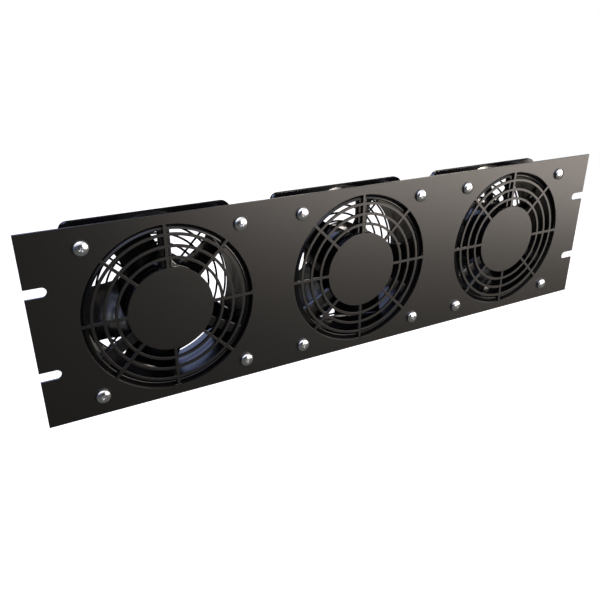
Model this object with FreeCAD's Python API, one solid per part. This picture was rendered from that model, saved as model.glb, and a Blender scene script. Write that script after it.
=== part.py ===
import FreeCAD, Part
import math
import os

# Rack fan tray: a 3U steel front panel with three finger-guard grilles cut into it and three
# 120 mm axial fans bolted behind. Millimetres. X runs along the panel, Y is the air path from
# front to back, Z is up. The origin is the middle of the panel's rear face, the plane that
# seats on the rack rails. Angles turn from X towards Z, counter-clockwise seen from the front.

Vector = FreeCAD.Vector
AXIS = Vector(0, 1, 0)
os.makedirs("parts", exist_ok=True)

# ---- panel ----
panel_width = 482.6
panel_height = 132.5
panel_thickness = 1.5
slot_pitch = 57.15
slot_height = 6.4
slot_depth = 13.4

# ---- grilles cut into the panel, each as wide as the fan behind ----
grille_disc_radius = 29.75
grille_rings = 3
grille_ring_width = 2.0
grille_spokes = 8
grille_spoke_width = 2.1

# ---- fans ----
fan_names = ["left", "middle", "right"]
fan_pitch = 152.4
fan_size = 119.0
fan_depth = 38.0
fan_corner_cut = 3.0
screw_inset = 7.1
rotor_angle = {"left": 31.0, "middle": 61.5, "right": 19.0}

# ---- fan frame, die-cast ----
flange_thickness = 4.0
throat_inset = 4.2
barrel_wall = 2.6
mouth_spread = 2.0
mouth_length = 9.0
mouth_rim = 3.9
strut_count = 3
strut_first_angle = 90.0
strut_width = 8.0
strut_rear_width = 5.5
strut_rear = 6.0
base_radius = 29.5
base_front = 0.5
base_thickness = 3.0
tube_wall = 2.4
tube_shoulder = 1.2

# ---- motor ----
shaft_radius = 2.5
bearing_radius = 6.5
bearing_width = 4.0
front_bearing = 6.0
rear_bearing_gap = 1.5
cap_thickness = 1.0
shaft_end_gap = 1.5
clip_radius = 4.6
clip_thickness = 0.8
core_radius = 24.6
core_front = 12.0
stator_rear_gap = 4.5
winding_inner = 11.5
winding_outer = 20.0
winding_length = 4.0
air_gap = 0.6
cup_wall = 1.5
cup_boss_radius = 5.0
cup_boss_length = 3.0

# ---- impeller ----
hub_wall = 2.6
hub_front_gap = 0.8
hub_rear_inset = 1.5
hub_rear_opening = 14.0
blade_count = 5
blade_thickness = 1.4
blade_root_front_gap = 2.3
blade_middle_front_gap = 1.9
blade_tip_front_gap = 3.9
blade_root_rear_inset = 5.5
blade_middle_rear_inset = 3.7
blade_tip_rear_inset = 1.5
blade_root_front_angle = 42.0
blade_middle_front_angle = 27.5
blade_tip_front_angle = 23.5
blade_root_rear_angle = -25.5
blade_middle_rear_angle = -13.5
blade_tip_rear_angle = -9.0
blade_root_camber = 7.5
blade_tip_camber = 5.0
tip_clearance = 1.0

# ---- terminal block on the barrel, two flat pins ----
terminal_width = 10.0
terminal_height = 9.0
terminal_front = 11.0
terminal_length = 14.0
terminal_inset = 19.0
pin_width = 2.8
pin_thickness = 0.5
pin_length = 7.0
pin_pitch = 6.4

# ---- rear finger guard, welded wire ----
guard_wire = 1.6
guard_rings = 6
guard_first_ring = 21.5
guard_outer_inset = 4.5
guard_eye_radius = 5.0

# ---- screws and nuts, M4 ----
screw_radius = 2.0
screw_head_radius = 4.9
screw_crown_radius = 3.4
screw_head_height = 2.9
nut_radius = 4.04
nut_height = 3.2
thread_past_nut = 1.2

# ---- clearances ----
running_clearance = 0.03
press_clearance = 0.02
slip_clearance = 0.05
screw_clearance = 0.25
seat_gap = 0.3

# ---- straight sides to a full round, for everything that repeats ----
grille_sides = 24
wide_sides = 32
hub_sides = 20
small_sides = 8
wire_sides = 16
thread_sides = 6


def round_wire(radius, y, sides):
    """Corners of a straight-sided round across the air path, closed on the first."""
    angles = [2 * math.pi * i / sides for i in range(sides)] + [0.0]
    return [Vector(radius * math.cos(a), y, radius * math.sin(a)) for a in angles]


def funnel(front_radius, rear_radius, front, rear, sides):
    """Straight-sided round that narrows or widens from front to rear; radii to the corners."""
    near = round_wire(front_radius, front, sides)
    far = round_wire(rear_radius, rear, sides)
    faces = [Part.Face(Part.makePolygon(near)), Part.Face(Part.makePolygon(far))]
    for i in range(sides):
        faces.append(Part.Face(Part.makePolygon([near[i], near[i + 1], far[i + 1], far[i], near[i]])))
    return closed(faces)


def closed(faces):
    """Solid inside a closed set of faces."""
    solid = Part.Solid(Part.makeShell(faces))
    if solid.Volume < 0:
        solid.reverse()
    return solid


def bar(radius, front, rear, sides):
    """Outside of a round: its corners lie on the radius."""
    return Part.Face(Part.makePolygon(round_wire(radius, front, sides))).extrude(Vector(0, rear - front, 0))


def bore(radius, front, rear, sides):
    """Inside of a round: its flats lie on the radius."""
    return bar(radius / math.cos(math.pi / sides), front, rear, sides)


def ring(outer, inner, front, rear, sides):
    return bar(outer, front, rear, sides).cut(bore(inner, front - 1, rear + 1, sides))


def block(x, y, z, width, depth, height):
    """Box centred on x and z that starts at y."""
    return Part.makeBox(width, depth, height, Vector(x - width / 2, y, z - height / 2))


def turned(shape, degrees):
    copy = shape.copy()
    copy.rotate(Vector(0, 0, 0), AXIS, -degrees)
    return copy


def moved(shape, x, y=0.0, z=0.0):
    copy = shape.copy()
    copy.translate(Vector(x, y, z))
    return copy


def joined(shapes):
    return shapes[0].multiFuse(shapes[1:]).removeSplitter()


def save(name, shape):
    shape.exportStep("parts/%s.step" % name)


middle = (len(fan_names) - 1) / 2
fan_x = {name: (i - middle) * fan_pitch for i, name in enumerate(fan_names)}
half = fan_size / 2
throat_radius = half - throat_inset
mouth_radius = half + mouth_spread
screw_pitch = fan_size - 2 * screw_inset
corners = [(sx * screw_pitch / 2, sz * screw_pitch / 2) for sx in (-1, 1) for sz in (-1, 1)]
panel_front = -panel_thickness
hub_front = strut_rear + hub_front_gap
cup_front = hub_front + seat_gap
hub_rear = fan_depth - hub_rear_inset
cup_rear = hub_rear - hub_wall
cup_end = cup_rear - cup_wall
rear_bearing = cup_end - rear_bearing_gap - bearing_width

# ---- front panel ----
# Flat steel sheet. Open slots at both ends take the rack screws; each grille is a solid disc,
# rings and spokes left standing between the cut-outs.
through = panel_thickness + 2
sheet = block(0, panel_front, 0, panel_width, panel_thickness, panel_height)
slot_round = Part.makeCylinder(slot_height / 2, through, Vector(0, panel_front - 1, 0), AXIS)
slot_mouth = block(slot_depth / 2, panel_front - 1, 0, slot_depth, through, slot_height)
slot = moved(slot_round.fuse(slot_mouth), panel_width / 2 - slot_depth + slot_height / 2)
slot_pair = [moved(slot, 0, 0, level * slot_pitch / 2) for level in (-1, 1)]
slots = [turned(one, angle) for one in slot_pair for angle in (0, 180)]
grille_gap = (half - grille_disc_radius - grille_rings * grille_ring_width) / (grille_rings + 1)
spoke = block(half / 2, panel_front - 2, 0, half + 2, through + 2, grille_spoke_width)
spokes = Part.makeCompound([turned(spoke, 360.0 * i / grille_spokes) for i in range(grille_spokes)])
gaps = []
for i in range(grille_rings + 1):
    inner = grille_disc_radius + i * (grille_gap + grille_ring_width)
    outline = bar(inner + grille_gap, panel_front - 1, 1, grille_sides)
    gaps.append(outline.cut(bar(inner, panel_front - 2, 2, grille_sides)).cut(spokes))
screw_hole = bore(screw_radius + screw_clearance, panel_front - 1, fan_depth + 1, thread_sides)
screw_holes = Part.makeCompound([moved(screw_hole, x, 0, z) for x, z in corners])
openings = Part.makeCompound(gaps + [screw_holes])
panel = sheet.cut(Part.makeCompound(slots + [moved(openings, fan_x[name]) for name in fan_names]))
save("front_panel", panel)

# ---- fan frame ----
# One casting: two square flanges joined by a barrel, an inlet mouth that flares out to four
# flats, and three struts that carry the motor base with its bearing tube.
cut = half - fan_corner_cut
edge = [Vector(half, 0, -cut), Vector(half, 0, cut)]
rim = [turned(Part.Vertex(point), 90 * i).Point for i in range(4) for point in edge]
square = Part.Face(Part.makePolygon(rim + rim[:1]))
front_flange = square.extrude(Vector(0, flange_thickness, 0))
rear_flange = moved(front_flange, 0, fan_depth - flange_thickness)
column = square.extrude(Vector(0, fan_depth, 0))
barrel_radius = throat_radius + barrel_wall
flare_radius = mouth_radius + barrel_wall
barrel = bar(barrel_radius, 0, fan_depth, wide_sides)
flare = funnel(flare_radius, barrel_radius, 0, mouth_length, wide_sides).common(column)
casting = joined([front_flange, rear_flange, barrel, flare])
mouth_width = fan_size - 2 * mouth_rim
mouth = funnel(mouth_radius, throat_radius, 0, mouth_length, wide_sides)
mouth = mouth.common(block(0, -1, 0, mouth_width, mouth_length + 2, mouth_width))
strut_front_half = strut_width / 2
strut_rear_half = strut_rear_width / 2
strut_profile = Part.makePolygon([
    Vector(0, base_front, -strut_front_half),
    Vector(0, base_front, strut_front_half),
    Vector(0, strut_rear, strut_rear_half),
    Vector(0, strut_rear, -strut_rear_half),
    Vector(0, base_front, -strut_front_half),
])
strut = Part.Face(strut_profile).extrude(Vector(mouth_radius, 0, 0))
strut_angles = [strut_first_angle + 360.0 * i / strut_count for i in range(strut_count)]
struts = [turned(strut, angle).common(casting) for angle in strut_angles]
base = bar(base_radius, base_front, base_front + base_thickness, hub_sides)
tube_radius = bearing_radius + tube_wall
tube_rear = rear_bearing + bearing_width
bearing_tube = bar(tube_radius, base_front, tube_rear, small_sides)
frame = casting.cut(bore(throat_radius, -1, fan_depth + 1, wide_sides)).cut(mouth)
frame = joined([frame, base, bearing_tube] + struts)
seat_radius = bearing_radius + press_clearance
seats = [
    bore(seat_radius, -1, front_bearing + bearing_width, small_sides),
    bore(bearing_radius - tube_shoulder, -1, tube_rear + 1, small_sides),
    bore(seat_radius, rear_bearing, tube_rear + 1, small_sides),
]
frame = frame.cut(Part.makeCompound(seats[:1])).cut(seats[1]).cut(seats[2]).cut(screw_holes)
for name in fan_names:
    save("fan_frame_" + name, moved(frame, fan_x[name]))

# ---- ball bearings, bearing cap, shaft and its clip ----
bearing = ring(bearing_radius, shaft_radius + running_clearance, 0, bearing_width, small_sides)
cap = bar(bearing_radius, base_front, base_front + cap_thickness, small_sides)
shaft_front = base_front + cap_thickness + shaft_end_gap
boss_rear = cup_rear + cup_boss_length / 2
shaft = bar(shaft_radius, shaft_front, boss_rear, small_sides)
clip_rear = front_bearing - seat_gap
clip_bore = shaft_radius + press_clearance
clip = ring(clip_radius, clip_bore, clip_rear - clip_thickness, clip_rear, thread_sides)
for name in fan_names:
    save("front_bearing_" + name, moved(bearing, fan_x[name], front_bearing))
    save("rear_bearing_" + name, moved(bearing, fan_x[name], rear_bearing))
    save("bearing_cap_" + name, moved(cap, fan_x[name]))
    save("rotor_shaft_" + name, moved(shaft, fan_x[name]))
    save("shaft_clip_" + name, moved(clip, fan_x[name]))

# ---- stator ----
# Laminated core on the bearing tube, with the end turns of the winding in front and behind.
core_rear = cup_end - stator_rear_gap - winding_length
core = ring(core_radius, tube_radius + slip_clearance, core_front, core_rear, small_sides)
end_turn = ring(winding_outer, winding_inner, 0, winding_length, small_sides)
winding = Part.makeCompound([moved(end_turn, 0, core_front - winding_length), moved(end_turn, 0, core_rear)])
for name in fan_names:
    save("stator_core_" + name, moved(core, fan_x[name]))
    save("stator_winding_" + name, moved(winding, fan_x[name]))

# ---- rotor cup ----
# Steel cup that turns round the stator; its boss is pressed on the shaft.
cup_inner = core_radius + air_gap
cup_outer = cup_inner + cup_wall
cup = bar(cup_outer, cup_front, cup_rear, hub_sides)
cup = cup.cut(bore(cup_inner, cup_front - 1, cup_end, hub_sides))
boss = bar(cup_boss_radius, cup_end, boss_rear, small_sides)
shaft_seat = bore(shaft_radius + press_clearance, 0, fan_depth, small_sides)
cup = joined([cup, boss]).cut(shaft_seat)

# ---- impeller ----
# Hub shell on the rotor cup, with blades that screw back from the leading edge. A blade is
# drawn through rows of points at its root, middle and tip, square to its slope everywhere.
hub_inner = cup_outer + slip_clearance
hub_outer = hub_inner + hub_wall
hub = bar(hub_outer, hub_front, hub_rear, hub_sides)
hub = hub.cut(bore(hub_inner, hub_front - 1, cup_rear + seat_gap, hub_sides))
hub = hub.cut(bore(hub_rear_opening, 0, fan_depth, small_sides))
tip_radius = throat_radius - tip_clearance
root_radius = hub_outer - hub_wall / 2
middle_radius = (root_radius + tip_radius) / 2
blade_middle_camber = (blade_root_camber + blade_tip_camber) / 2
blade_stations = 5


def blade_row(radius, front_gap, rear_inset, front_angle, rear_angle, camber):
    """Points at one radius down the two faces of the blade, leading edge to trailing edge."""
    front = strut_rear + front_gap
    chord = fan_depth - rear_inset - front
    turn = rear_angle - front_angle
    faces = ([], [])
    for i in range(blade_stations + 1):
        share = i / blade_stations
        along = front_angle + share * turn + 4 * camber * share * (1 - share)
        slope = math.atan(radius * math.radians(turn + 4 * camber * (1 - 2 * share)) / chord)
        for points, side in zip(faces, (-1, 1)):
            y = front + share * chord - side * blade_thickness / 2 * math.sin(slope)
            angle = math.radians(along) + side * blade_thickness / 2 * math.cos(slope) / radius
            points.append(Vector(radius * math.cos(angle), y, radius * math.sin(angle)))
    return faces


def facets(a, b, c, d):
    """Four corners of a twisted patch as two flat triangles."""
    return [Part.Face(Part.makePolygon([a, b, c, a])), Part.Face(Part.makePolygon([a, c, d, a]))]


root = blade_row(
    root_radius,
    blade_root_front_gap,
    blade_root_rear_inset,
    blade_root_front_angle,
    blade_root_rear_angle,
    blade_root_camber,
)
centre = blade_row(
    middle_radius,
    blade_middle_front_gap,
    blade_middle_rear_inset,
    blade_middle_front_angle,
    blade_middle_rear_angle,
    blade_middle_camber,
)
tip = blade_row(
    tip_radius,
    blade_tip_front_gap,
    blade_tip_rear_inset,
    blade_tip_front_angle,
    blade_tip_rear_angle,
    blade_tip_camber,
)
outline = [root[0], centre[0], tip[0], tip[1], centre[1], root[1]]
patches = []
for near, far in zip(outline, outline[1:] + outline[:1]):
    for i in range(blade_stations):
        patches += facets(near[i], far[i], far[i + 1], near[i + 1])
for i in (0, blade_stations):
    patches += facets(root[0][i], centre[0][i], centre[1][i], root[1][i])
    patches += facets(centre[0][i], tip[0][i], tip[1][i], centre[1][i])
blade = closed(patches)
impeller = joined([hub] + [turned(blade, 360.0 * i / blade_count) for i in range(blade_count)])
for name in fan_names:
    save("rotor_cup_" + name, moved(cup, fan_x[name]))
    save("impeller_" + name, moved(turned(impeller, rotor_angle[name]), fan_x[name]))

# ---- terminal block ----
# Moulded block bedded on the barrel between the flanges, with two flat pins for a fan cord.
block_outer = half - pin_length / 2
terminal_z = terminal_inset - half
terminal_x = block_outer - terminal_width
terminal = block(
    terminal_x, terminal_front, terminal_z, 2 * terminal_width, terminal_length, terminal_height
)
terminal = terminal.cut(bar(barrel_radius + slip_clearance, -1, fan_depth + 1, wide_sides))
pins = []
for side in (-1, 1):
    pin_y = terminal_front + terminal_length / 2 + side * pin_pitch / 2 - pin_width / 2
    pins.append(block(half, pin_y, terminal_z, pin_length, pin_width, pin_thickness))
for name in fan_names:
    save("terminal_block_" + name, moved(terminal, fan_x[name]))
    save("terminal_pins_" + name, moved(Part.makeCompound(pins), fan_x[name]))

# ---- rear finger guard ----
# Four radial wires with an eye at the outer end, and concentric rings spot-welded on them.
wire_rear = fan_depth + guard_wire
wire_half = guard_wire / 2
eye_hole = screw_radius + screw_clearance
eye_centre = screw_pitch / math.sqrt(2)
radial_start = guard_first_ring - wire_half
radial_length = eye_centre - radial_start
radial = block(radial_start + radial_length / 2, fan_depth, 0, radial_length, guard_wire, guard_wire)
eye = moved(bar(guard_eye_radius, fan_depth, wire_rear, thread_sides), eye_centre)
eye_bore = moved(bore(eye_hole, fan_depth - 1, wire_rear + 1, thread_sides), eye_centre)
radial = joined([radial, eye]).cut(eye_bore)
wires = [turned(radial, 45 + 90 * i) for i in range(4)]
guard_step = (half - guard_outer_inset - guard_first_ring) / (guard_rings - 1)
for i in range(guard_rings):
    radius = guard_first_ring + i * guard_step
    wires.append(ring(radius + wire_half, radius - wire_half, wire_rear, wire_rear + guard_wire, wire_sides))
guard = Part.makeCompound(wires)
for name in fan_names:
    save("rear_guard_" + name, moved(guard, fan_x[name]))

# ---- screws and nuts ----
# Long pan-head screws run through panel, fan and guard eye to a nut behind.
nut_front = wire_rear
nut_rear = nut_front + nut_height
head_front = panel_front - screw_head_height
head = funnel(screw_crown_radius, screw_head_radius, head_front, panel_front, thread_sides)
shank = bar(screw_radius, panel_front, nut_rear + thread_past_nut, thread_sides)
screw = joined([head, shank])
nut_bore = bore(screw_radius + slip_clearance, 0, nut_rear + 1, thread_sides)
nut = bar(nut_radius, nut_front, nut_rear, thread_sides).cut(nut_bore)
places = [(fan_x[name] + x, z) for name in fan_names for x, z in corners]
save("fan_screws", Part.makeCompound([moved(screw, x, 0, z) for x, z in places]))
save("fan_nuts", Part.makeCompound([moved(nut, x, 0, z) for x, z in places]))
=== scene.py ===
import bmesh
import bpy
import math
from mathutils import Matrix, Vector


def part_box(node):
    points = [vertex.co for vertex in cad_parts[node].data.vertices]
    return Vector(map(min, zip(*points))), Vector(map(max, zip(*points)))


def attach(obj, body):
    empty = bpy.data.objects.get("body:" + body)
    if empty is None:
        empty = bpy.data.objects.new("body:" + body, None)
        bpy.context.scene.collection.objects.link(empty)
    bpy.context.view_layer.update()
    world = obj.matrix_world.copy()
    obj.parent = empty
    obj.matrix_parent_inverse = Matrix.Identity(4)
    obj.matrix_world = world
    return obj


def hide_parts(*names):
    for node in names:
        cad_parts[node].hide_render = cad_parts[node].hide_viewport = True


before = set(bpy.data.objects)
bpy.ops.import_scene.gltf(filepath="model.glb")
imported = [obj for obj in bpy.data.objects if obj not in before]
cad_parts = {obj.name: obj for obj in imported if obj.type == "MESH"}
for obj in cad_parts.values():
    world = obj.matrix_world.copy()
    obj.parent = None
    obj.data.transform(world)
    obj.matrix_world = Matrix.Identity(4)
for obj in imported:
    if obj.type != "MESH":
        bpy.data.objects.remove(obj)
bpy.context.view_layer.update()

mm = 0.001

# ---- Fan frames ----
# One aluminium die casting each, painted black: two square flanges joined by a round barrel, a
# raised rim round the opening at the panel, and three struts that carry the motor base.
fans = {
    side: sum(corner[0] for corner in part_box("fan_frame_" + side)) / 2
    for side in ("left", "middle", "right")
}
frame_low, frame_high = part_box("fan_frame_middle")
half = (frame_high[0] - frame_low[0]) / 2 / mm
depth = frame_high[1] / mm
corner_radius = 6.0
flange = 4.0
throat = 55.3
barrel = 58.8
screw_place = 52.4
screw_hole = 2.25
bearing_seat = 6.52
tube = 8.9
strut_count = 3
strut_half = 4.0
strut_taper = 7.0 / 8.0
fine_steps = 128


def linear(colour):
    """A written sRGB hex colour as the linear one that a shader takes."""
    parts = [int(colour[i:i + 2], 16) / 255 for i in (1, 3, 5)]
    return [c / 12.92 if c <= 0.04045 else ((c + 0.055) / 1.055) ** 2.4 for c in parts] + [1.0]


def add(tree, kind, inputs, **settings):
    """A node of that kind with its settings; an input is a value or the socket that feeds it."""
    node = tree.nodes.new(kind)
    for key, value in settings.items():
        setattr(node, key, value)
    for key, value in inputs.items():
        if isinstance(value, bpy.types.NodeSocket):
            tree.links.new(value, node.inputs[key])
        else:
            node.inputs[key].default_value = value
    return node


def finish(name):
    """A new material with its Principled shader, and the place of each point in metres."""
    material = bpy.data.materials.new(name)
    material.use_nodes = True
    tree = material.node_tree
    place = add(tree, "ShaderNodeTexCoord", {}).outputs["Object"]
    return material, tree, tree.nodes["Principled BSDF"], place


# Black stove enamel on a die casting: glossy, with the faint pebble of the cast skin under it
# (about 2 mm) and the finer grain of the sand-blasted surface (0.4 mm).
cast_paint, tree, shader, place = finish("black_paint_on_die_cast_aluminium")
pebble = add(tree, "ShaderNodeTexNoise", {"Vector": place, "Scale": 1 / (2.0 * mm), "Detail": 3.0})
grain = add(tree, "ShaderNodeTexNoise", {"Vector": place, "Scale": 1 / (0.4 * mm), "Detail": 2.0})
cloud = add(tree, "ShaderNodeTexNoise", {"Vector": place, "Scale": 1 / (40 * mm), "Detail": 2.0})
tone = add(tree, "ShaderNodeMix", {
    "Factor": cloud.outputs["Fac"], "A": linear("#0b0b0d"), "B": linear("#141416"),
}, data_type="RGBA")
gloss = add(tree, "ShaderNodeMapRange", {"Value": cloud.outputs["Fac"], "To Min": 0.15, "To Max": 0.23})
low_bump = add(tree, "ShaderNodeBump", {
    "Height": pebble.outputs["Fac"], "Strength": 0.05, "Distance": 0.02 * mm,
})
bump = add(tree, "ShaderNodeBump", {
    "Height": grain.outputs["Fac"], "Normal": low_bump.outputs["Normal"], "Strength": 0.06,
    "Distance": 0.01 * mm,
})
tree.links.new(tone.outputs["Result"], shader.inputs["Base Color"])
tree.links.new(gloss.outputs["Result"], shader.inputs["Roughness"])
tree.links.new(bump.outputs["Normal"], shader.inputs["Normal"])


def piece(name, shape, material, sharp=35):
    """The object made from a bmesh, smooth but for edges sharper than that many degrees."""
    bmesh.ops.remove_doubles(shape, verts=shape.verts, dist=0.005 * mm)
    bmesh.ops.recalc_face_normals(shape, faces=shape.faces)
    mesh = bpy.data.meshes.new(name)
    shape.to_mesh(mesh)
    shape.free()
    mesh.shade_smooth()
    mesh.set_sharp_from_angle(angle=math.radians(sharp))
    mesh.materials.append(material)
    made = bpy.data.objects.new(name, mesh)
    bpy.context.collection.objects.link(made)
    return made


def lathe(shape, profile, steps, ring=False):
    """Spins (radius, y) points in millimetres round the fan axis; a ring joins last to first."""
    corners = [shape.verts.new((radius * mm, y * mm, 0)) for radius, y in profile]
    edges = [shape.edges.new(pair) for pair in zip(corners, corners[1:])]
    if ring:
        edges.append(shape.edges.new((corners[-1], corners[0])))
    bmesh.ops.spin(
        shape, geom=corners + edges, cent=(0, 0, 0), axis=(0, 1, 0), dvec=(0, 0, 0),
        angle=2 * math.pi, steps=steps, use_merge=True,
    )


def slab(shape, low, high):
    """Adds a box between two corners in millimetres and returns its points."""
    size = [(b - a) * mm for a, b in zip(low, high)]
    middle = [(a + b) / 2 * mm for a, b in zip(low, high)]
    matrix = Matrix.Translation(middle) @ Matrix.Diagonal(size + [1])
    return bmesh.ops.create_cube(shape, size=1, matrix=matrix)["verts"]


def carve(work, tool, operation="DIFFERENCE"):
    """Cuts the tool out of the work or joins it on, closes the seam, and throws the tool away."""
    seam = 0.002 * mm
    change = work.modifiers.new("carve", "BOOLEAN")
    change.operation = operation
    change.object = tool
    change.solver = "EXACT"
    made = bpy.data.meshes.new_from_object(work.evaluated_get(bpy.context.evaluated_depsgraph_get()))
    work.modifiers.clear()
    clean = bmesh.new()
    clean.from_mesh(made)
    bmesh.ops.remove_doubles(clean, verts=clean.verts, dist=seam)
    bmesh.ops.dissolve_degenerate(clean, edges=clean.edges, dist=seam)
    clean.to_mesh(made)
    clean.free()
    work.data = made
    bpy.data.objects.remove(tool)
    return work


def round_edges(shape, edges, radius, segments):
    """Rounds the edges to that radius in millimetres."""
    bmesh.ops.bevel(
        shape, geom=edges, offset=radius * mm, affect="EDGES", segments=segments,
        profile=0.5, material=-1, offset_type="OFFSET",
    )


def along(edge, axis):
    """True for an edge that runs along that axis."""
    run = (edge.verts[0].co - edge.verts[1].co).normalized()
    return abs(run[axis]) > 0.99


def at_fans(pattern, body, nodes, turns=None):
    """Puts a copy of a piece made round the fan axis at each fan, in place of those CAD nodes."""
    for side, x in fans.items():
        copy = pattern.copy()
        copy.data = pattern.data.copy()
        copy.name = copy.data.name = pattern.name + "_" + side
        turn = -math.radians(turns[side]) if turns else 0
        copy.data.transform(Matrix.Translation((x, 0, 0)) @ Matrix.Rotation(turn, 4, "Y"))
        bpy.context.collection.objects.link(copy)
        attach(copy, body.replace("SIDE", side))
        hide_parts(*[node + "_" + side for node in nodes])
    bpy.data.objects.remove(pattern)


shape = bmesh.new()
slab(shape, (-half, 0, -half), (half, depth, half))
round_edges(shape, [e for e in shape.edges if along(e, 1)], corner_radius, 8)
flat_edges = [e for e in shape.edges if abs(e.verts[0].co.y - e.verts[1].co.y) < 0.1 * mm]
rims = [e for e in flat_edges if e.verts[0].co.y > 1 * mm]
round_edges(shape, rims, 0.4, 2)
casting = piece("fan_frame", shape, cast_paint)
shape = bmesh.new()
lathe(shape, [(0, -1), (barrel, -1), (barrel, depth + 1), (0, depth + 1)], fine_steps)
core = piece("barrel", shape, cast_paint)
shape = bmesh.new()
slab(shape, (-80, flange, -80), (80, depth - flange, 80))
waste = carve(piece("waste", shape, cast_paint), core)
carve(casting, waste)
shape = bmesh.new()
rim = [
    (59.1, -1), (59.1, 2.0), (58.2, 1.4), (57.2, 0.75), (56.3, 0.2), (56.0, 0.1),
    (55.7, 0.25), (55.4, 0.65), (throat, 1.2),
]
lathe(shape, [(0, -1)] + rim + [(throat, depth + 1), (0, depth + 1)], fine_steps)
carve(casting, piece("throat", shape, cast_paint))
shape = bmesh.new()
for x in (-1, 1):
    for z in (-1, 1):
        matrix = Matrix.Translation((x * screw_place * mm, depth / 2 * mm, z * screw_place * mm))
        bmesh.ops.create_cone(
            shape, cap_ends=True, segments=32, radius1=screw_hole * mm, radius2=screw_hole * mm,
            depth=(depth + 4) * mm, matrix=matrix @ Matrix.Rotation(math.pi / 2, 4, "X"),
        )
carve(casting, piece("holes", shape, cast_paint))
shape = bmesh.new()
lathe(shape, [
    (bearing_seat, 0.5), (28.9, 0.5), (29.4, 0.8), (29.5, 1.3), (29.5, 3.0), (29.0, 3.5), (9.6, 3.5),
    (tube, 4.2), (tube, 30.9), (bearing_seat, 30.9), (bearing_seat, 26.9), (5.3, 26.9),
    (5.3, 10), (bearing_seat, 10),
], 96, ring=True)
base = piece("base", shape, cast_paint)
for i in range(strut_count):
    shape = bmesh.new()
    for vert in slab(shape, (20, 0.5, -strut_half), (56.5, 6.0, strut_half)):
        if vert.co.y > 3 * mm:
            vert.co.z *= strut_taper
    round_edges(shape, [e for e in shape.edges if along(e, 0)], 0.8, 3)
    turn = Matrix.Rotation(-math.radians(90 + 360 * i / strut_count), 3, "Y")
    bmesh.ops.rotate(shape, verts=shape.verts, cent=(0, 0, 0), matrix=turn)
    carve(base, piece("strut", shape, cast_paint), "UNION")
carve(casting, base, "UNION")
casting.data.shade_smooth()
casting.data.set_sharp_from_angle(angle=math.radians(35))
at_fans(casting, "tray", ["fan_frame"])

# ---- Impellers ----
# Moulded in glossy black glass-filled nylon: a cup-shaped hub pressed on the rotor, and five
# wide blades that screw back from their leading edges, thicker where they leave the hub.
turns = {"left": 31.0, "middle": 61.5, "right": 19.0}
blade_count = 5
hub = 29.35
tip = 54.3
blade_root = 28.05
root_cover = 1.3
mid_span = 41.175
half_span = 13.125

# Injection-moulded nylon: deep black with a hard gloss, a soft mould-flow waviness (8 mm)
# and a very fine spark-eroded grain (0.3 mm).
nylon, tree, shader, place = finish("moulded_black_nylon")
flow = add(tree, "ShaderNodeTexNoise", {"Vector": place, "Scale": 1 / (8 * mm), "Detail": 2.0})
grain = add(tree, "ShaderNodeTexNoise", {"Vector": place, "Scale": 1 / (0.3 * mm), "Detail": 2.0})
tone = add(tree, "ShaderNodeMix", {
    "Factor": flow.outputs["Fac"], "A": linear("#08090b"), "B": linear("#0e0f13"),
}, data_type="RGBA")
gloss = add(tree, "ShaderNodeMapRange", {"Value": flow.outputs["Fac"], "To Min": 0.1, "To Max": 0.2})
low_bump = add(tree, "ShaderNodeBump", {
    "Height": flow.outputs["Fac"], "Strength": 0.15, "Distance": 0.2 * mm,
})
bump = add(tree, "ShaderNodeBump", {
    "Height": grain.outputs["Fac"], "Normal": low_bump.outputs["Normal"], "Strength": 0.06,
    "Distance": 0.01 * mm,
})
tree.links.new(tone.outputs["Result"], shader.inputs["Base Color"])
tree.links.new(gloss.outputs["Result"], shader.inputs["Roughness"])
tree.links.new(bump.outputs["Normal"], shader.inputs["Normal"])


def across(radius, root, middle, tip):
    """A value that runs in one smooth curve over the blade's span, from root to tip."""
    side = (radius - mid_span) / half_span
    return middle + side * (tip - root) / 2 + side * side * ((tip + root) / 2 - middle)


def blade_point(share, radius, side):
    """Place on a blade, from its share of the chord, its radius in millimetres and its face."""
    front = across(radius, 8.3, 7.9, 9.9)
    depth = across(radius, 32.5, 34.3, 36.5) - front
    first = across(radius, 42.0, 27.5, 23.5)
    turn = across(radius, -28.0, -13.5, -9.0) - first
    camber = across(radius, 7.5, 6.25, 5.0)
    y = front + depth * share
    angle = first + turn * share + 4 * camber * share * (1 - share)
    slope = math.atan(radius * math.radians(turn + 4 * camber * (1 - 2 * share)) / depth)
    thick = 0.8 + 1.5 * math.sqrt(share + 0.02) * (1 - share)
    thick += 1.2 * math.exp((blade_root - radius + root_cover) / 1.2)
    thick = min(thick, 2.4)
    y -= side * thick / 2 * math.sin(slope)
    angle = math.radians(angle) + side * thick / 2 * math.cos(slope) / radius
    return Vector((radius * math.cos(angle), y, radius * math.sin(angle))) * mm


def blade(shape, turn):
    """Adds one blade, bent from a flat grid with a back and a rim, turned round the axis."""
    earlier = set(shape.verts)
    made = bmesh.ops.create_grid(shape, x_segments=28, y_segments=14, size=0.5)["verts"]
    faces = {face for vert in made for face in vert.link_faces}
    bmesh.ops.solidify(shape, geom=list(faces), thickness=0.2)
    points = [vert for vert in shape.verts if vert not in earlier]
    halfway = sum(vert.co.z for vert in points) / len(points)
    for vert in points:
        radius = blade_root + (tip - blade_root) * (vert.co.y + 0.5)
        place = blade_point(vert.co.x + 0.5, radius, 1 if vert.co.z > halfway else -1)
        vert.co = Matrix.Rotation(-math.radians(turn), 3, "Y") @ place


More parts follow.
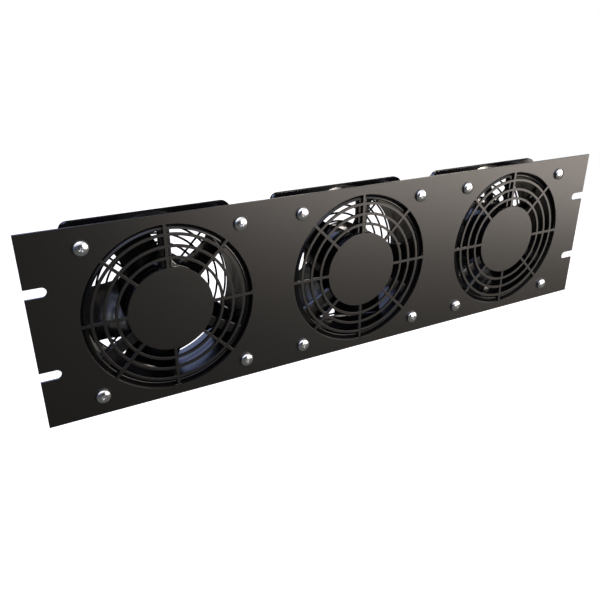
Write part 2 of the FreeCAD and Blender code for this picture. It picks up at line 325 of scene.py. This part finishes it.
shape = bmesh.new()
lathe(shape, [
    (26.75, 6.8), (28.6, 6.8), (29.1, 7.0), (hub, 7.5), (hub, 34.0), (29.1, 35.2), (28.5, 36.0),
    (27.6, 36.45), (26.8, 36.5), (14.4, 36.5), (14.0, 36.1), (14.0, 34.2), (26.75, 34.2),
], 96, ring=True)
impeller = piece("impeller", shape, nylon)
shape = bmesh.new()
for i in range(blade_count):
    blade(shape, 360 * i / blade_count)
carve(impeller, piece("blades", shape, nylon), "UNION")
impeller.data.shade_smooth()
impeller.data.set_sharp_from_angle(angle=math.radians(40))
at_fans(impeller, "rotor_SIDE", ["impeller"], turns)

# ---- Rotor cups, shafts and clips ----
# The pressed steel cup inside each hub turns round the stator. Its boss is pressed on the ground
# shaft, and a spring clip in front of the front bearing keeps the shaft from backing out.
shaft_bore = 2.52
sheet_steel, tree, shader, place = finish("zinc_flashed_pressed_steel")
spots = add(tree, "ShaderNodeTexVoronoi", {"Vector": place, "Scale": 1 / (1.5 * mm)})
haze = add(tree, "ShaderNodeTexNoise", {"Vector": place, "Scale": 1 / (6 * mm), "Detail": 4.0})
tone = add(tree, "ShaderNodeMix", {
    "Factor": haze.outputs["Fac"], "A": linear("#8b8c8a"), "B": linear("#b4b5b2"),
}, data_type="RGBA")
gloss = add(tree, "ShaderNodeMapRange", {"Value": haze.outputs["Fac"], "To Min": 0.28, "To Max": 0.45})
bump = add(tree, "ShaderNodeBump", {
    "Height": spots.outputs["Distance"], "Strength": 0.15, "Distance": 0.02 * mm,
})
shader.inputs["Metallic"].default_value = 1.0
tree.links.new(tone.outputs["Result"], shader.inputs["Base Color"])
tree.links.new(gloss.outputs["Result"], shader.inputs["Roughness"])
tree.links.new(bump.outputs["Normal"], shader.inputs["Normal"])

shape = bmesh.new()
lathe(shape, [
    (25.2, 7.1), (26.4, 7.1), (26.7, 7.4), (26.7, 32.6), (26.3, 33.5), (25.4, 33.9), (5.0, 33.9),
    (5.0, 35.2), (4.8, 35.4), (shaft_bore, 35.4), (shaft_bore, 32.4), (25.2, 32.4),
], 96, ring=True)
at_fans(piece("rotor_cup", shape, sheet_steel), "rotor_SIDE", ["rotor_cup"])
shape = bmesh.new()
lathe(shape, [(0, 3.0), (2.2, 3.0), (2.5, 3.3), (2.5, 35.1), (2.2, 35.4), (0, 35.4)], 48)
at_fans(piece("rotor_shaft", shape, sheet_steel), "rotor_SIDE", ["rotor_shaft"])
shape = bmesh.new()
lathe(shape, [(shaft_bore, 4.9), (4.0, 4.9), (4.0, 5.7), (shaft_bore, 5.7)], 48, ring=True)
at_fans(piece("shaft_clip", shape, sheet_steel), "rotor_SIDE", ["shaft_clip"])

# ---- Bearings, caps, stator cores and windings ----
# Inside the motor: two ball bearings in the tube, a pressed cap over the front one, and the
# stack of steel sheets with enamelled copper coils. They keep the CAD shapes.
copper, tree, shader, place = finish("enamelled_copper_wire")
strands = add(tree, "ShaderNodeTexWave", {
    "Vector": place, "Scale": 1 / (0.4 * mm) / 20, "Distortion": 1.0,
}, bands_direction="Y")
tone = add(tree, "ShaderNodeMix", {
    "Factor": strands.outputs["Fac"], "A": linear("#7a3a18"), "B": linear("#b8642e"),
}, data_type="RGBA")
bump = add(tree, "ShaderNodeBump", {
    "Height": strands.outputs["Fac"], "Strength": 0.6, "Distance": 0.1 * mm,
})
shader.inputs["Metallic"].default_value = 1.0
shader.inputs["Roughness"].default_value = 0.3
tree.links.new(tone.outputs["Result"], shader.inputs["Base Color"])
tree.links.new(bump.outputs["Normal"], shader.inputs["Normal"])
for name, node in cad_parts.items():
    if name.startswith("stator_winding"):
        node.material_slots[0].material = copper
    elif name.startswith(("stator_core", "front_bearing", "rear_bearing", "bearing_cap")):
        node.material_slots[0].material = sheet_steel

# ---- Terminal blocks and pins ----
# A moulded block bedded on the outside of each barrel holds two tinned brass tabs that a fan
# cord pushes on.
block_low, block_high = [[c / mm for c in corner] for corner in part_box("terminal_block_middle")]
bed = barrel + 0.05
pin_width = 2.8
moulding, tree, shader, place = finish("moulded_black_polyester")
grain = add(tree, "ShaderNodeTexNoise", {"Vector": place, "Scale": 1 / (0.25 * mm), "Detail": 2.0})
tone = add(tree, "ShaderNodeMix", {
    "Factor": grain.outputs["Fac"], "A": linear("#101011"), "B": linear("#1b1b1c"),
}, data_type="RGBA")
bump = add(tree, "ShaderNodeBump", {
    "Height": grain.outputs["Fac"], "Strength": 0.3, "Distance": 0.03 * mm,
})
shader.inputs["Roughness"].default_value = 0.5
tree.links.new(tone.outputs["Result"], shader.inputs["Base Color"])
tree.links.new(bump.outputs["Normal"], shader.inputs["Normal"])
tinned, tree, shader, place = finish("tin_plated_brass")
haze = add(tree, "ShaderNodeTexNoise", {"Vector": place, "Scale": 1 / (1.0 * mm), "Detail": 3.0})
tone = add(tree, "ShaderNodeMix", {
    "Factor": haze.outputs["Fac"], "A": linear("#b9b5a6"), "B": linear("#d8d6cc"),
}, data_type="RGBA")
shader.inputs["Metallic"].default_value = 1.0
shader.inputs["Roughness"].default_value = 0.28
tree.links.new(tone.outputs["Result"], shader.inputs["Base Color"])

shape = bmesh.new()
slab(shape, block_low, block_high)
round_edges(shape, shape.edges[:], 0.6, 3)
block = piece("terminal_block", shape, moulding)
shape = bmesh.new()
lathe(shape, [(0, -1), (bed, -1), (bed, depth + 1), (0, depth + 1)], fine_steps)
carve(block, piece("bed", shape, moulding))
at_fans(block, "tray", ["terminal_block"])
shape = bmesh.new()
pins_low, pins_high = [[c / mm for c in corner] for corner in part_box("terminal_pins_middle")]
for front in (pins_low[1], pins_high[1] - pin_width):
    far_corner = (pins_high[0], front + pin_width, pins_high[2])
    for vert in slab(shape, (pins_low[0], front, pins_low[2]), far_corner):
        if vert.co.x > pins_low[0] * mm + mm:
            vert.tag = True
tips = [e for e in shape.edges if along(e, 2) and e.verts[0].tag and e.verts[1].tag]
round_edges(shape, tips, 0.7, 3)
at_fans(piece("terminal_pins", shape, tinned), "tray", ["terminal_pins"])

# ---- Rear finger guards ----
# Round steel wire: concentric rings spot-welded on four radial wires, each bent into an eye for
# the fan screw, and coated black.
coated, tree, shader, place = finish("black_coated_steel_wire")
grain = add(tree, "ShaderNodeTexNoise", {"Vector": place, "Scale": 1 / (0.6 * mm), "Detail": 3.0})
tone = add(tree, "ShaderNodeMix", {
    "Factor": grain.outputs["Fac"], "A": linear("#0c0c0d"), "B": linear("#19191a"),
}, data_type="RGBA")
bump = add(tree, "ShaderNodeBump", {
    "Height": grain.outputs["Fac"], "Strength": 0.3, "Distance": 0.03 * mm,
})
shader.inputs["Roughness"].default_value = 0.35
tree.links.new(tone.outputs["Result"], shader.inputs["Base Color"])
tree.links.new(bump.outputs["Normal"], shader.inputs["Normal"])
wire = 0.8
eye_radius = 3.6
rings = [21.5 + 6.7 * i for i in range(6)]


def wire_ring(shape, radius, y, steps, sides=10):
    """Adds a ring of round wire about the fan axis."""
    angles = [2 * math.pi * i / sides for i in range(sides)]
    section = [(radius + wire * math.cos(a), y + wire * math.sin(a)) for a in angles]
    lathe(shape, section, steps, ring=True)


shape = bmesh.new()
for radius in rings:
    wire_ring(shape, radius, depth + 3 * wire, 96)
for i in range(4):
    turn = Matrix.Rotation(-math.radians(45 + 90 * i), 4, "Y")
    reach = screw_place * math.sqrt(2) - eye_radius
    start = rings[0] - wire
    matrix = turn @ Matrix.Translation(((start + reach) / 2 * mm, (depth + wire) * mm, 0))
    bmesh.ops.create_cone(
        shape, cap_ends=True, segments=12, radius1=wire * mm, radius2=wire * mm,
        depth=(reach - start) * mm, matrix=matrix @ Matrix.Rotation(math.pi / 2, 4, "Y"),
    )
    before = set(shape.verts)
    wire_ring(shape, eye_radius, depth + wire, 32)
    eye = [vert for vert in shape.verts if vert not in before]
    place = turn @ Vector((screw_place * math.sqrt(2) * mm, 0, 0))
    bmesh.ops.translate(shape, verts=eye, vec=place)
at_fans(piece("rear_guard", shape, coated), "tray", ["rear_guard"])

# ---- Front panel ----
# One sheet of 1.5 mm steel, cut flat: two slots open to each end for the rack screws, and over
# each fan a grille of rings and spokes round a blank disc. Powder-coated black, satin.
panel_low, panel_high = [[c / mm for c in corner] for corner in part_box("front_panel")]
panel_x, panel_z, panel_front = panel_high[0], panel_high[2], panel_low[1]
slot_level, slot_half, slot_centre = 28.575, 3.2, 231.1
disc, ring_width, ring_gap = 29.75, 2.0, 5.9375
cut_outs = [disc + i * (ring_gap + ring_width) for i in range(4)]
spoke_count = 8
spoke_half = 1.05
edge = 0.12

# Powder coat: black, satin, with the low orange peel that the powder leaves as it flows (1.5 mm
# apart) and the sparkle of the matting grain, drawn at 0.3 mm, coarser than it is, so that it shows.
powder, tree, shader, place = finish("satin_black_powder_coat")
peel = add(tree, "ShaderNodeTexNoise", {"Vector": place, "Scale": 1 / (1.5 * mm), "Detail": 2.0})
grain = add(tree, "ShaderNodeTexNoise", {"Vector": place, "Scale": 1 / (0.3 * mm), "Detail": 2.0})
cloud = add(tree, "ShaderNodeTexNoise", {"Vector": place, "Scale": 1 / (60 * mm), "Detail": 2.0})
tone = add(tree, "ShaderNodeMix", {
    "Factor": cloud.outputs["Fac"], "A": linear("#0a0909"), "B": linear("#0e0d0c"),
}, data_type="RGBA")
gloss = add(tree, "ShaderNodeMapRange", {"Value": grain.outputs["Fac"], "To Min": 0.3, "To Max": 0.36})
shader.inputs["Specular IOR Level"].default_value = 0.7
low_bump = add(tree, "ShaderNodeBump", {
    "Height": peel.outputs["Fac"], "Strength": 0.1, "Distance": 0.05 * mm,
})
bump = add(tree, "ShaderNodeBump", {
    "Height": grain.outputs["Fac"], "Normal": low_bump.outputs["Normal"], "Strength": 0.06,
    "Distance": 0.01 * mm,
})
tree.links.new(tone.outputs["Result"], shader.inputs["Base Color"])
tree.links.new(gloss.outputs["Result"], shader.inputs["Roughness"])
tree.links.new(bump.outputs["Normal"], shader.inputs["Normal"])


def arc(x, z, radius, start, end, steps):
    """Points on an arc in millimetres, from one angle to another in degrees."""
    angles = [math.radians(start + (end - start) * i / steps) for i in range(steps + 1)]
    return [(x + radius * math.cos(a), z + radius * math.sin(a)) for a in angles]


def outline(curve, points):
    """Adds a closed outline of (x, z) points in millimetres to a flat curve."""
    line = curve.splines.new("POLY")
    line.points.add(len(points) - 1)
    for point, (x, z) in zip(line.points, points):
        point.co = (x * mm, z * mm, 0, 1)
    line.use_cyclic_u = True


sheet = bpy.data.curves.new("front_panel", "CURVE")
sheet.dimensions = "2D"
sheet.fill_mode = "BOTH"
sheet.extrude = (-panel_front / 2 - edge) * mm
sheet.bevel_depth = edge * mm
sheet.bevel_resolution = 1
sheet.offset = -edge * mm
side = [(panel_x, -panel_z)]
for level in (-slot_level, slot_level):
    side.append((panel_x, level - slot_half))
    side += arc(slot_centre, level, slot_half, 270, 90, 24)
    side.append((panel_x, level + slot_half))
side.append((panel_x, panel_z))
outline(sheet, side + [(-x, -z) for x, z in side])
for x in fans.values():
    for inner in cut_outs:
        outer = inner + ring_gap
        near, far = [math.degrees(math.asin(spoke_half / radius)) for radius in (outer, inner)]
        for i in range(spoke_count):
            start, end = 360 * i / spoke_count, 360 * (i + 1) / spoke_count
            cut = arc(x / mm, 0, outer, start + near, end - near, 20)
            cut += arc(x / mm, 0, inner, end - far, start + far, 16)
            outline(sheet, cut[::-1])
    for sx in (-1, 1):
        for sz in (-1, 1):
            hole = arc(x / mm + sx * screw_place, sz * screw_place, screw_hole, 360, 11.25, 31)
            outline(sheet, hole)
flat = bpy.data.objects.new("flat", sheet)
bpy.context.collection.objects.link(flat)
shape = bmesh.new()
filled = flat.evaluated_get(bpy.context.evaluated_depsgraph_get())
shape.from_mesh(bpy.data.meshes.new_from_object(filled))
bpy.data.objects.remove(flat)
matrix = Matrix.Translation((0, panel_front / 2 * mm, 0)) @ Matrix.Rotation(math.pi / 2, 4, "X")
bmesh.ops.transform(shape, verts=shape.verts, matrix=matrix)
panel = piece("front_panel_sheet", shape, powder, sharp=15)
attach(panel, "tray")
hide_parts("front_panel")

# ---- Screws ----
# Bright nickel-plated M4 machine screws with domed heads and a cross recess. They run through
# panel, fan and guard eye, and are threaded at the far end only.
head_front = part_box("fan_screws")[0][1] / mm
screw_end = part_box("fan_screws")[1][1] / mm
places = [
    (x / mm + sx * screw_place, sz * screw_place)
    for x in fans.values() for sx in (-1, 1) for sz in (-1, 1)
]
shank = 2.0
thread_root = 1.65
thread_start = 31.0
half_pitch = 0.35
next_turn = 37

# Bright nickel plate: a mirror with a faint haze of plating grain (0.2 mm).
nickel, tree, shader, place = finish("bright_nickel_plate")
grain = add(tree, "ShaderNodeTexNoise", {"Vector": place, "Scale": 1 / (0.2 * mm), "Detail": 2.0})
gloss = add(tree, "ShaderNodeMapRange", {"Value": grain.outputs["Fac"], "To Min": 0.14, "To Max": 0.24})
tone = add(tree, "ShaderNodeMix", {
    "Factor": grain.outputs["Fac"], "A": linear("#d4d6da"), "B": linear("#e2e3e6"),
}, data_type="RGBA")
shader.inputs["Metallic"].default_value = 1.0
tree.links.new(tone.outputs["Result"], shader.inputs["Base Color"])
tree.links.new(gloss.outputs["Result"], shader.inputs["Roughness"])


def at_screws(pattern, node, step):
    """Puts a copy of a piece made round the Y axis at each screw, each turned a step further."""
    shape = bmesh.new()
    for i, (x, z) in enumerate(places):
        before = set(shape.verts)
        shape.from_mesh(pattern.data)
        copy = [vert for vert in shape.verts if vert not in before]
        turn = Matrix.Rotation(math.radians(step * i), 3, "Y")
        bmesh.ops.rotate(shape, verts=copy, cent=(0, 0, 0), matrix=turn)
        bmesh.ops.translate(shape, verts=copy, vec=(x * mm, 0, z * mm))
    made = piece(pattern.name + "_set", shape, pattern.data.materials[0])
    bpy.data.objects.remove(pattern)
    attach(made, "tray")
    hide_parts(node)


shape = bmesh.new()
bends = [math.radians(9 * i) for i in range(1, 11)]
dome = [(4.88 * math.sin(a), -2.6 - 1.8 * math.cos(a)) for a in bends]
neck = [(4.75, -1.5), (shank, -1.5), (shank, 30.8)]
thread = [(shank if i % 2 else thread_root, thread_start + half_pitch * i) for i in range(36)]
lathe(shape, [(0, head_front)] + dome + neck + thread + [(1.5, screw_end), (0, screw_end)], 48)
screw = piece("fan_screw", shape, nickel)
for arm in (25, 115):
    shape = bmesh.new()
    for vert in slab(shape, (-2.1, head_front - 0.2, -0.45), (2.1, head_front + 0.9, 0.45)):
        if vert.co.y > head_front * mm:
            vert.co.x *= 0.3
            vert.co.z *= 0.2
    turn = Matrix.Rotation(math.radians(arm), 3, "Y")
    bmesh.ops.rotate(shape, verts=shape.verts, cent=(0, 0, 0), matrix=turn)
    carve(screw, piece("recess", shape, nickel))
at_screws(screw, "fan_screws", next_turn)

# ---- Nuts ----
# Zinc-plated M4 hexagon nuts, chamfered at both faces, pulled up on the guard eyes.
nuts_low, nuts_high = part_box("fan_nuts")
nut_front, nut_rear = nuts_low[1] / mm, nuts_high[1] / mm
nut_corner = 4.04
tapped = 2.05
shape = bmesh.new()
matrix = Matrix.Translation((0, (nut_front + nut_rear) / 2 * mm, 0))
bmesh.ops.create_cone(
    shape, cap_ends=True, segments=6, radius1=nut_corner * mm, radius2=nut_corner * mm,
    depth=(nut_rear - nut_front) * mm, matrix=matrix @ Matrix.Rotation(math.pi / 2, 4, "X"),
)
nut = piece("fan_nut", shape, sheet_steel)
shape = bmesh.new()
lathe(shape, [
    (0, nut_front), (3.4, nut_front), (4.1, nut_front + 0.4),
    (4.1, nut_rear - 0.4), (3.4, nut_rear), (0, nut_rear),
], 48)
carve(nut, piece("chamfer", shape, sheet_steel), "INTERSECT")
shape = bmesh.new()
lathe(shape, [
    (0, nut_front - 1), (tapped, nut_front - 1), (tapped, nut_rear - 0.3),
    (2.6, nut_rear + 0.25), (2.6, nut_rear + 1), (0, nut_rear + 1),
], 48)
carve(nut, piece("tapping", shape, sheet_steel))
at_screws(nut, "fan_nuts", 0)

# ---- Studio: floor, cards, lamps and camera ----
# A pale floor that stays white to the eye. Unseen cards stand round it as a dim room, so that the
# black gloss has something dark to mirror. A large warm soft lamp low on the right lights the
# panel, two bluish windows and a top lamp fill in, and two small lamps behind edge the barrels.
def stage_sheet(name, corners, colour, to_eye):
    """A flat sheet of the studio; a card isn't seen by the camera and casts no shadow."""
    shape = bmesh.new()
    shape.faces.new([shape.verts.new(corner) for corner in corners])
    paint, tree, shader, place = finish(name + "_paint")
    shader.inputs["Base Color"].default_value = linear(colour)
    shader.inputs["Roughness"].default_value = 0.9
    shader.inputs["Specular IOR Level"].default_value = 0.0
    made = piece(name, shape, paint)
    made.visible_camera = to_eye
    made.visible_shadow = to_eye
    return tree, shader


def to_mirrors_too(tree):
    """1 for rays from the camera and for those by way of metal, gloss or glass, else 0."""
    seen = add(tree, "ShaderNodeLightPath", {})
    show = add(tree, "ShaderNodeMath", {
        0: seen.outputs["Is Camera Ray"], 1: seen.outputs["Is Glossy Ray"],
    }, operation="MAXIMUM")
    show = add(tree, "ShaderNodeMath", {
        0: show.outputs[0], 1: seen.outputs["Is Transmission Ray"],
    }, operation="MAXIMUM")
    return show.outputs[0]


tree, shader = stage_sheet("floor", [
    (-40, -40, -0.5), (40, -40, -0.5), (40, 40, -0.5), (-40, 40, -0.5),
], "#e0e0e0", True)
glow = add(tree, "ShaderNodeEmission", {"Color": (1, 1, 1, 1), "Strength": 0.95})
lit = add(tree, "ShaderNodeAddShader", {0: shader.outputs[0], 1: glow.outputs[0]})
either = add(tree, "ShaderNodeMixShader", {
    0: to_mirrors_too(tree), 1: shader.outputs[0], 2: lit.outputs[0],
})
tree.links.new(either.outputs[0], tree.nodes["Material Output"].inputs["Surface"])
left, right, front, rear, low = -3.2, 3.2, -2.6, 2.4, -0.4
floor_join, front_join = 0.1, -0.7
front_top, side_top, rear_top = 0.9, 1.4, 2.6
stage_sheet("low_card", [
    (left, front, low), (right, front, low), (right, floor_join, low), (left, floor_join, low),
], "#66675f", False)
stage_sheet("rear_low_card", [
    (left, floor_join, low), (right, floor_join, low), (right, rear, low), (left, rear, low),
], "#8e8878", False)
stage_sheet("front_card", [
    (front_join, front, low), (right, front, low), (right, front, front_top), (front_join, front, front_top),
], "#2a2a2a", False)
stage_sheet("front_left_card", [
    (left, front, low), (front_join, front, low), (front_join, front, front_top), (left, front, front_top),
], "#8f9ab8", False)
stage_sheet("left_card", [
    (left, front, low), (left, rear, low), (left, rear, side_top), (left, front, side_top),
], "#8c9cc4", False)
stage_sheet("right_card", [
    (right, front, low), (right, rear, low), (right, rear, side_top), (right, front, side_top),
], "#2a2a2a", False)
stage_sheet("rear_card", [
    (left, rear, low), (right, rear, low), (right, rear, rear_top), (left, rear, rear_top),
], "#2e2b26", False)

world = bpy.data.worlds.new("studio")
bpy.context.scene.world = world
world.use_nodes = True
tree = world.node_tree
level = add(tree, "ShaderNodeMapRange", {"Value": to_mirrors_too(tree), "To Min": 0.5, "To Max": 1.0})
sky = tree.nodes["Background"]
sky.inputs["Color"].default_value = (1, 1, 1, 1)
tree.links.new(level.outputs["Result"], sky.inputs["Strength"])


def lamp(name, place, aim, size, watts, colour="#ffffff"):
    """A soft rectangular lamp that faces a point."""
    light = bpy.data.lights.new(name, "AREA")
    light.shape = "RECTANGLE"
    light.size, light.size_y = size
    light.energy = watts
    light.color = linear(colour)[:3]
    made = bpy.data.objects.new(name, light)
    made.location = place
    made.rotation_euler = (Vector(aim) - Vector(place)).to_track_quat("-Z", "Y").to_euler()
    bpy.context.collection.objects.link(made)


lamp("right_lamp", (1.106, -1.271, 0.102), (0, 0, 0), (1.64, 1.02), 27, "#fff3ea")
lamp("top_lamp", (-0.3, -0.4, 1.6), (0, 0, 0), (1.6, 1.2), 8)
lamp("front_window", (-0.42, -1.1, 1.13), (0, 0, 0), (0.9, 0.8), 2.6, "#98b0ff")
lamp("rear_window", (-0.55, 1.52, 1.18), (0, 0, 0), (1.2, 1.7), 17, "#b8c8ff")
lamp("rear_strip", (0.77, 1.69, 0.87), (0, 0, 0), (0.3, 0.25), 1.9, "#fff6ee")
lamp("rear_strip_right", (1.24, 1.36, 0.87), (0.14, 0, 0), (0.3, 0.25), 3.8, "#fff2e4")

camera = bpy.data.cameras.new("camera")
camera.lens = 37.617
camera.sensor_width = 36
camera.clip_start = 0.01
camera.clip_end = 100
shooting = bpy.data.objects.new("camera", camera)
shooting.location = (-0.25636, -0.38062, 0.17785)
shooting.rotation_euler = (1.1506706, 0.0048082, -0.4909712)
bpy.context.collection.objects.link(shooting)
bpy.context.scene.camera = shooting
bpy.context.scene.view_settings.view_transform = "Standard"
